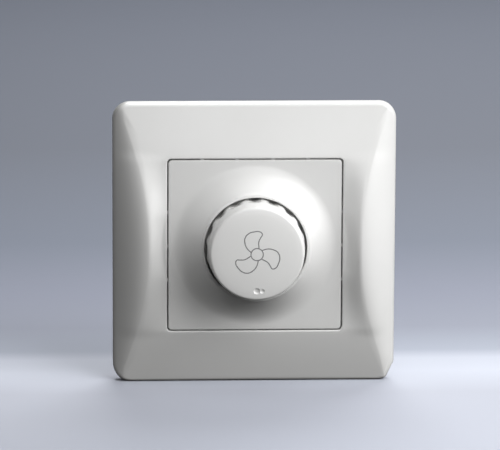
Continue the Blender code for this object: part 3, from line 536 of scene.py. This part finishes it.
def thread(obj, centre, radius, start, end):
    """Cuts a screw thread into the turned surface of a radius between two distances along Y."""
    for vertex in obj.data.vertices:
        x, y, z = (value / MM for value in vertex.co)
        across = (x - centre[0], z - centre[1])
        reach = hypot(*across)
        if abs(reach - radius) > 0.05 or not start < y < end:
            continue
        turn = ((y - start) / THREAD_PITCH - atan2(across[1], across[0]) / (2 * pi)) % 1
        run_out = min((y - start) / THREAD_PITCH, (end - y) / THREAD_PITCH, 1)
        share = 1 - THREAD_DEPTH * run_out * abs(2 * turn - 1) / radius
        vertex.co.x = (centre[0] + across[0] * share) * MM
        vertex.co.z = (centre[1] + across[1] * share) * MM


def threaded_rows(radius, start, end):
    """Profile points close enough together along a shank for its thread."""
    count = round((end - start) / THREAD_PITCH * 6)
    return [(radius, start + (end - start) * k / count) for k in range(count + 1)]


def claw_screw(side):
    """A claw's screw: a slotted cheese head in front of the strap and a threaded shank behind it."""
    node = f"claw_screw_{side}"
    low, high = extent(node)
    x = (low[0] + high[0]) / 2
    head, radius, tip = (high[0] - low[0]) / 2, SHANK_RADIUS, high[1]
    seat = low[1] + 1.7
    profile = [(0, low[1]), (head - 0.6, low[1])]
    profile += arc((head - 0.5, low[1]), (head, low[1]), (head, low[1] + 0.5), 4)
    profile += [(head, seat - 0.15), (head - 0.15, seat), (radius + 0.1, seat), (radius, seat + 0.1)]
    profile += threaded_rows(radius, seat + 0.2, tip - 0.4) + [(radius - 0.4, tip), (0, tip)]
    obj = lathe(node + "_made", profile, SCREW_SIDES, (x, 0))
    thread(obj, (x, 0), radius, seat + 1.2, tip - 0.4)
    boolean(obj, box("slot", (x - 3, low[1] - 1, -0.4), (x + 3, low[1] + 0.75, 0.4)))
    clean_up(obj)
    smooth(obj, 40)
    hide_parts(node)
    return obj


def wire_screw(number):
    """A terminal's screw, with a domed slotted head that shows in its driver hole."""
    node = f"terminal_screw_{number}"
    low, high = extent(node)
    x, z = (low[0] + high[0]) / 2, (low[2] + high[2]) / 2
    head, radius = (high[0] - low[0]) / 2, SHANK_RADIUS
    tip, end = low[1], high[1]
    under = end - 1.9
    for vertex in frame["nodes"][node].data.vertices:
        point = vertex.co / MM
        if hypot(point.x - x, point.z - z) > radius + 0.3:
            under = min(under, point.y)
    profile = [(0, tip), (radius - 0.4, tip)] + threaded_rows(radius, tip + 0.4, under)
    profile += [(head - 0.15, under), (head, under + 0.15), (head, end - 0.55)]
    profile += arc((head, end - 0.5), (head, end), (head - 0.7, end), 5) + [(0, end)]
    obj = lathe(node + "_made", profile, SCREW_SIDES, (x, z))
    thread(obj, (x, z), radius, tip + 0.4, under - 0.1)
    boolean(obj, box("slot", (x - 3, end - 0.8, z - 0.35), (x + 3, end + 1, z + 0.35)))
    clean_up(obj)
    smooth(obj, 40)
    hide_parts(node)
    return obj


def make_housing():
    """The rear moulding: a blank sunk label field, and a small hollow under the face at each wire entry."""
    low, high = extent("housing_shell")
    rear = high[1]
    obj = softened("housing_shell", EDGES["housing_shell"], 3)
    field = box("field", (-11, rear - 0.25, -9.5), (11, rear + 1, 1.0))
    boolean(obj, field)
    for number in (1, 2, 3):
        ends = extent(f"terminal_screw_{number}")
        deselect()
        bpy.ops.mesh.primitive_cone_add(
            vertices=3, radius1=0.9 * MM, radius2=0.9 * MM, depth=0.4 * MM, rotation=(pi / 2, 0, 0),
            location=to_metres(((ends[0][0] + ends[1][0]) / 2, rear - 0.3, low[2] + 3.4)),
        )
        arrow = bpy.context.object
        settle(arrow)
        boolean(obj, arrow)
    clean_up(obj)
    smooth(obj, 32)
    return obj


# ---------------------------------------------------------------- finishes


def shader_group(name, inputs, outputs):
    """A node group with float inputs and named outputs."""
    tree = bpy.data.node_groups.new(name, "ShaderNodeTree")
    for label, value in inputs.items():
        socket = tree.interface.new_socket(name=label, in_out="INPUT", socket_type="NodeSocketFloat")
        socket.default_value = value
    for label in outputs:
        tree.interface.new_socket(name=label, in_out="OUTPUT", socket_type="NodeSocketFloat")
    return tree, tree.nodes.new("NodeGroupInput"), tree.nodes.new("NodeGroupOutput")


def math_node(tree, operation, first, second=None, clamp=False):
    node = tree.nodes.new("ShaderNodeMath")
    node.operation = operation
    node.use_clamp = clamp
    for socket, value in zip(node.inputs, (first, second)):
        if value is None:
            continue
        if isinstance(value, (int, float)):
            socket.default_value = value
        else:
            tree.links.new(value, socket)
    return node.outputs[0]


def noise_node(tree, vector, scale, detail=3.0, rough=0.55):
    node = tree.nodes.new("ShaderNodeTexNoise")
    node.inputs["Detail"].default_value = detail
    node.inputs["Roughness"].default_value = rough
    tree.links.new(vector, node.inputs["Vector"])
    if isinstance(scale, (int, float)):
        node.inputs["Scale"].default_value = scale
    else:
        tree.links.new(scale, node.inputs["Scale"])
    return node.outputs["Fac"]


def object_coordinates(tree, stretch=None):
    coordinates = tree.nodes.new("ShaderNodeTexCoord").outputs["Object"]
    if stretch is None:
        return coordinates
    mapping = tree.nodes.new("ShaderNodeMapping")
    mapping.inputs["Scale"].default_value = stretch
    tree.links.new(coordinates, mapping.inputs["Vector"])
    return mapping.outputs["Vector"]


def moulded_skin_group():
    """Fine spark-eroded grain of a moulding, with the slow mottling of its colour and gloss."""
    tree, entry, result = shader_group(
        "moulded_skin", {"Grain Scale": 2600.0, "Mottle Scale": 45.0}, ("Height", "Tone", "Gloss")
    )
    place = object_coordinates(tree)
    grain = noise_node(tree, place, entry.outputs["Grain Scale"], 2.0)
    mottle = noise_node(tree, place, entry.outputs["Mottle Scale"], 4.0)
    handling = noise_node(tree, place, 260.0, 3.0, 0.65)
    tree.links.new(grain, result.inputs["Height"])
    tree.links.new(mottle, result.inputs["Tone"])
    tree.links.new(math_node(tree, "MULTIPLY", grain, handling), result.inputs["Gloss"])
    return tree


def plated_skin_group():
    """Zinc, nickel or tin plating: a spangle of small patches with rolling lines along one way."""
    tree, entry, result = shader_group(
        "plated_skin", {"Patch Scale": 700.0, "Line Scale": 1.0}, ("Height", "Tone", "Gloss")
    )
    place = object_coordinates(tree)
    cells = tree.nodes.new("ShaderNodeTexVoronoi")
    tree.links.new(place, cells.inputs["Vector"])
    tree.links.new(entry.outputs["Patch Scale"], cells.inputs["Scale"])
    patches = tree.nodes.new("ShaderNodeSeparateColor")
    tree.links.new(cells.outputs["Color"], patches.inputs["Color"])
    rolling = noise_node(tree, object_coordinates(tree, (9000, 500, 500)), entry.outputs["Line Scale"], 2.0)
    tarnish = noise_node(tree, place, 90.0, 5.0, 0.6)
    tree.links.new(rolling, result.inputs["Height"])
    tone = math_node(tree, "ADD", math_node(tree, "MULTIPLY", patches.outputs["Red"], 0.35), tarnish)
    tree.links.new(math_node(tree, "MULTIPLY", tone, 0.75, True), result.inputs["Tone"])
    tree.links.new(math_node(tree, "MULTIPLY", rolling, tarnish), result.inputs["Gloss"])
    return tree


def ramp_between(tree, factor, low, high):
    """A colour or value that goes from low to high as the factor goes from 0.3 to 0.7."""
    ramp = tree.nodes.new("ShaderNodeValToRGB")
    ramp.color_ramp.elements[0].position = 0.3
    ramp.color_ramp.elements[1].position = 0.7
    ramp.color_ramp.elements[0].color = (*low, 1)
    ramp.color_ramp.elements[1].color = (*high, 1)
    tree.links.new(factor, ramp.inputs["Fac"])
    return ramp.outputs["Color"]


def spread(tree, factor, low, high):
    node = tree.nodes.new("ShaderNodeMapRange")
    node.inputs["From Min"].default_value = 0.1
    node.inputs["From Max"].default_value = 0.5
    node.inputs["To Min"].default_value = low
    node.inputs["To Max"].default_value = high
    tree.links.new(factor, node.inputs["Value"])
    return node.outputs["Result"]


def finish(name, group, colours, roughness, scales, bump, metallic=0.0, **constants):
    """A material: two shades of the colour, a range of roughness and a fine relief from one skin group."""
    material = bpy.data.materials.new(name)
    material.use_nodes = True
    tree = material.node_tree
    shader = tree.nodes["Principled BSDF"]
    skin = tree.nodes.new("ShaderNodeGroup")
    skin.node_tree = group
    for socket, value in zip(skin.inputs, scales):
        socket.default_value = value
    tree.links.new(ramp_between(tree, skin.outputs["Tone"], *colours), shader.inputs["Base Color"])
    tree.links.new(spread(tree, skin.outputs["Gloss"], *roughness), shader.inputs["Roughness"])
    relief = tree.nodes.new("ShaderNodeBump")
    relief.inputs["Strength"].default_value = bump[0]
    relief.inputs["Distance"].default_value = bump[1] * MM
    tree.links.new(skin.outputs["Height"], relief.inputs["Height"])
    tree.links.new(relief.outputs["Normal"], shader.inputs["Normal"])
    shader.inputs["Metallic"].default_value = metallic
    for label, value in constants.items():
        shader.inputs[label.replace("_", " ")].default_value = value
    return material


def make_finishes():
    moulded, plated = moulded_skin_group(), plated_skin_group()
    return {
        "white_thermoplastic": finish(
            "white_satin_plastic", moulded, ((0.80, 0.80, 0.79), (0.83, 0.83, 0.822)), (0.30, 0.40),
            (2400, 40), (0.12, 0.02), Coat_Weight=0.25, Coat_Roughness=0.22,
        ),
        "knob_white": finish(
            "knob_white_plastic", moulded, ((0.87, 0.87, 0.86), (0.9, 0.9, 0.89)), (0.28, 0.38),
            (2400, 40), (0.1, 0.02), Coat_Weight=0.3, Coat_Roughness=0.2,
        ),
        "dark_grey_insulating_plastic": finish(
            "dark_grey_moulding", moulded, ((0.035, 0.037, 0.04), (0.055, 0.057, 0.06)), (0.42, 0.6),
            (1500, 60), (0.5, 0.05),
        ),
        "natural_polyamide": finish(
            "natural_polyamide", moulded, ((0.66, 0.62, 0.5), (0.72, 0.69, 0.58)), (0.35, 0.5),
            (1800, 70), (0.25, 0.03), Subsurface_Weight=0.1,
        ),
        "black_epoxy": finish(
            "black_epoxy", moulded, ((0.012, 0.012, 0.013), (0.025, 0.025, 0.027)), (0.35, 0.55),
            (2200, 120), (0.4, 0.03),
        ),
        "resistor_lacquer": finish(
            "tan_lacquer", moulded, ((0.45, 0.3, 0.16), (0.5, 0.35, 0.2)), (0.25, 0.35),
            (900, 200), (0.2, 0.03),
        ),
        "blue_plastic": finish(
            "blue_moulding", moulded, ((0.02, 0.1, 0.42), (0.03, 0.14, 0.5)), (0.3, 0.42),
            (2000, 90), (0.3, 0.03),
        ),
        "film_capacitor_lacquer": finish(
            "green_lacquer", moulded, ((0.03, 0.2, 0.1), (0.05, 0.26, 0.14)), (0.2, 0.35),
            (500, 200), (0.3, 0.05),
        ),
        "circuit_laminate": finish(
            "circuit_laminate", moulded, ((0.28, 0.2, 0.09), (0.36, 0.26, 0.12)), (0.4, 0.55),
            (3000, 500), (0.3, 0.02),
        ),
        "fuse_glass": finish(
            "fuse_glass", moulded, ((0.9, 0.93, 0.92), (0.95, 0.96, 0.95)), (0.02, 0.06),
            (600, 80), (0.02, 0.01),
            Transmission_Weight=0.9, IOR=1.5,
        ),
        "ferrite": finish(
            "ferrite", moulded, ((0.045, 0.045, 0.048), (0.075, 0.073, 0.072)), (0.6, 0.8),
            (1200, 300), (0.8, 0.05),
        ),
        "enamelled_copper": finish(
            "enamelled_copper", plated, ((0.5, 0.16, 0.05), (0.62, 0.24, 0.08)), (0.2, 0.35),
            (900, 1), (0.2, 0.02), 1.0,
        ),
        "zinc_plated_steel": finish(
            "zinc_plating", plated, ((0.50, 0.51, 0.52), (0.66, 0.67, 0.67)), (0.27, 0.5),
            (650, 1), (0.18, 0.02), 1.0,
        ),
        "spring_steel": finish(
            "spring_steel", plated, ((0.36, 0.35, 0.33), (0.5, 0.49, 0.47)), (0.22, 0.4),
            (900, 1), (0.2, 0.02), 1.0,
        ),
        "nickel_plated_brass": finish(
            "nickel_plating", plated, ((0.6, 0.56, 0.48), (0.72, 0.68, 0.6)), (0.16, 0.3),
            (800, 1), (0.12, 0.02), 1.0,
        ),
        "tinned_copper": finish(
            "tin_plating", plated, ((0.6, 0.6, 0.58), (0.75, 0.75, 0.73)), (0.3, 0.5),
            (1100, 1), (0.2, 0.02), 1.0,
        ),
        "aluminium": finish(
            "bare_aluminium", plated, ((0.62, 0.63, 0.64), (0.75, 0.76, 0.77)), (0.28, 0.45),
            (500, 1), (0.3, 0.02), 1.0,
        ),
        "printed_grey_ink": finish(
            "printed_grey_ink", moulded, ((0.2, 0.2, 0.205), (0.25, 0.25, 0.255)), (0.45, 0.6),
            (3000, 300), (0.1, 0.01),
        ),
    }


def cover(obj, material):
    obj.data.materials.clear()
    obj.data.materials.append(material)


# ---------------------------------------------------------------- stage


# Colours along the sheet by distance behind the wall plane: a pale band round the object's foot and blue
# grey behind it, with painted shade that darkens the paper away from the object, a little in front and much
# more behind, standing in for the fall-off of the light.
PAPER_TONES_AND_PAINTED_SHADE = [  # metres behind the wall plane, colour
    (-0.11, (0.385, 0.405, 0.465)), (-0.02, (0.44, 0.46, 0.525)), (0.006, (0.56, 0.59, 0.67)),
    (0.0225, (0.53, 0.56, 0.64)), (0.0325, (0.37, 0.4, 0.475)), (0.064, (0.285, 0.305, 0.37)),
    (0.11, (0.25, 0.268, 0.335)), (0.19, (0.183, 0.205, 0.257)), (0.36, (0.152, 0.166, 0.202)),
]


def make_stage():
    """One sheet: a pale floor, soft blue grey behind the object, that curves up far behind it, with painted
    shade that darkens the paper with distance from the object.
    """
    floor = -FRAME_HALF
    reach, bend_start, bend = 2500, 1400, 500
    sheet = start_at("studio_sheet", (-reach, -reach, floor))
    turns = [radians(t) for t in range(10, 100, 10)]
    run = [(-reach, floor), (bend_start, floor)]
    run += [(bend_start + bend * sin(t), floor + bend * (1 - cos(t))) for t in turns]
    run += [(bend_start + bend, floor + reach)]
    for (y0, z0), (y1, z1) in zip(run, run[1:]):
        step = to_metres((0, y1 - y0, z1 - z0))
        bpy.ops.mesh.extrude_vertices_move(TRANSFORM_OT_translate={"value": step})
    bpy.ops.mesh.select_all(action="SELECT")
    bpy.ops.mesh.extrude_edges_move(TRANSFORM_OT_translate={"value": to_metres((2 * reach, 0, 0))})
    bpy.ops.object.mode_set(mode="OBJECT")
    clean_up(sheet)
    smooth(sheet, 40)
    material = bpy.data.materials.new("studio_paper_painted_shade")
    material.use_nodes = True
    tree = material.node_tree
    shader = tree.nodes["Principled BSDF"]
    shader.inputs["Roughness"].default_value = 0.7
    shader.inputs["Specular IOR Level"].default_value = 0.2
    place = tree.nodes.new("ShaderNodeSeparateXYZ")
    tree.links.new(object_coordinates(tree), place.inputs["Vector"])
    share = tree.nodes.new("ShaderNodeMapRange")
    share.inputs["From Min"].default_value = PAPER_TONES_AND_PAINTED_SHADE[0][0]
    share.inputs["From Max"].default_value = PAPER_TONES_AND_PAINTED_SHADE[-1][0]
    tree.links.new(place.outputs["Y"], share.inputs["Value"])
    # Painted shade: this ramp sets the paper's colour by its distance behind the wall, darker away from the
    # object.
    ramp = tree.nodes.new("ShaderNodeValToRGB")
    stops = ramp.color_ramp.elements
    for _ in PAPER_TONES_AND_PAINTED_SHADE[2:]:
        stops.new(0.5)
    for stop, (distance, tone) in zip(stops, PAPER_TONES_AND_PAINTED_SHADE):
        stop.position = (distance - PAPER_TONES_AND_PAINTED_SHADE[0][0]) / (PAPER_TONES_AND_PAINTED_SHADE[-1][0] - PAPER_TONES_AND_PAINTED_SHADE[0][0])
        stop.color = (*tone, 1)
    tree.links.new(share.outputs["Result"], ramp.inputs["Fac"])
    tree.links.new(ramp.outputs["Color"], shader.inputs["Base Color"])
    cover(sheet, material)
    sheet.visible_diffuse = False
    sheet.visible_glossy = False


def make_camera():
    roll, distance = radians(0.25), 1.25
    aim = to_metres((-1.3, -5.0, 5.3))
    back = direction(-2.8, 11.7)
    data = bpy.data.cameras.new("camera")
    data.lens = 311.0
    data.sensor_width = 36
    data.clip_start = 0.01
    camera = bpy.data.objects.new("camera", data)
    bpy.context.collection.objects.link(camera)
    camera.location = aim + back * distance
    camera.rotation_euler = ((-back).to_track_quat("-Z", "Y") @ Quaternion((0, 0, 1), roll)).to_euler()
    bpy.context.scene.camera = camera


def direction(azimuth, elevation):
    """The way from the object to a place round it: azimuth 0 is straight in front, 90 to its right."""
    a, e = radians(azimuth), radians(elevation)
    return Vector((sin(a) * cos(e), -cos(a) * cos(e), sin(e)))


def area_light(name, place, size, power):
    """A square light that faces the object's origin and doesn't show."""
    data = bpy.data.lights.new(name, "AREA")
    data.shape = "RECTANGLE"
    data.size, data.size_y = size, size
    data.energy = power
    light = bpy.data.objects.new(name, data)
    bpy.context.collection.objects.link(light)
    light.location = place
    light.rotation_euler = (-place).to_track_quat("-Z", "Y").to_euler()
    light.visible_camera = False


LIGHTS = {  # azimuth and elevation in degrees, distance and size in metres, power in watts
    "key": (50, 40, 1.2, 0.9, 10.1),
    "front_spot": (5, 17, 0.17, 0.08, 0.043),
    "right_spot": (45, 15, 0.17, 0.08, 0.045),
    "side": (78, 20, 0.48, 0.35, 1.0),
    "left_rim": (-70, 20, 0.6, 0.4, 0.46),
    "top": (0, 85, 0.6, 0.4, 1.0),
    "back_fill": (165, 40, 0.9, 0.7, 7.0),
}


def make_lights():
    for name, (azimuth, elevation, distance, size, power) in LIGHTS.items():
        area_light(name, direction(azimuth, elevation) * distance, size, power)
    world = bpy.data.worlds.new("studio")
    world.use_nodes = True
    world.node_tree.nodes["Background"].inputs["Strength"].default_value = 0.0
    bpy.context.scene.world = world
    bpy.context.scene.view_settings.view_transform = "Standard"


# ---------------------------------------------------------------- assembly

make_camera()
finishes = make_finishes()

FACE_PIECES = {"frame_face": "insert", "plate_face": "insert", "knob_cap": "knob_and_shaft"}
for piece in (make_frame(), make_plate(), make_knob()):
    cover(piece, finishes["knob_white" if piece.name == "knob_cap" else "white_thermoplastic"])
    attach(piece, FACE_PIECES[piece.name])

symbol = make_symbol()
cover(symbol, finishes["printed_grey_ink"])
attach(symbol, "knob_and_shaft")

SPECIAL = {"housing_shell": make_housing()}
for side in ("left", "right"):
    SPECIAL[f"claw_screw_{side}"] = claw_screw(side)
for number in (1, 2, 3):
    SPECIAL[f"terminal_screw_{number}"] = wire_screw(number)

for node in frame["nodes"]:
    if node in ("outer_frame", "centre_plate", "knob"):
        continue
    piece = SPECIAL.get(node) or softened(node, EDGES.get(node, OTHER_EDGES))
    cover(piece, finishes[SLOT_OF[node]])
    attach(piece, BODY_OF[node])

make_stage()
make_lights()
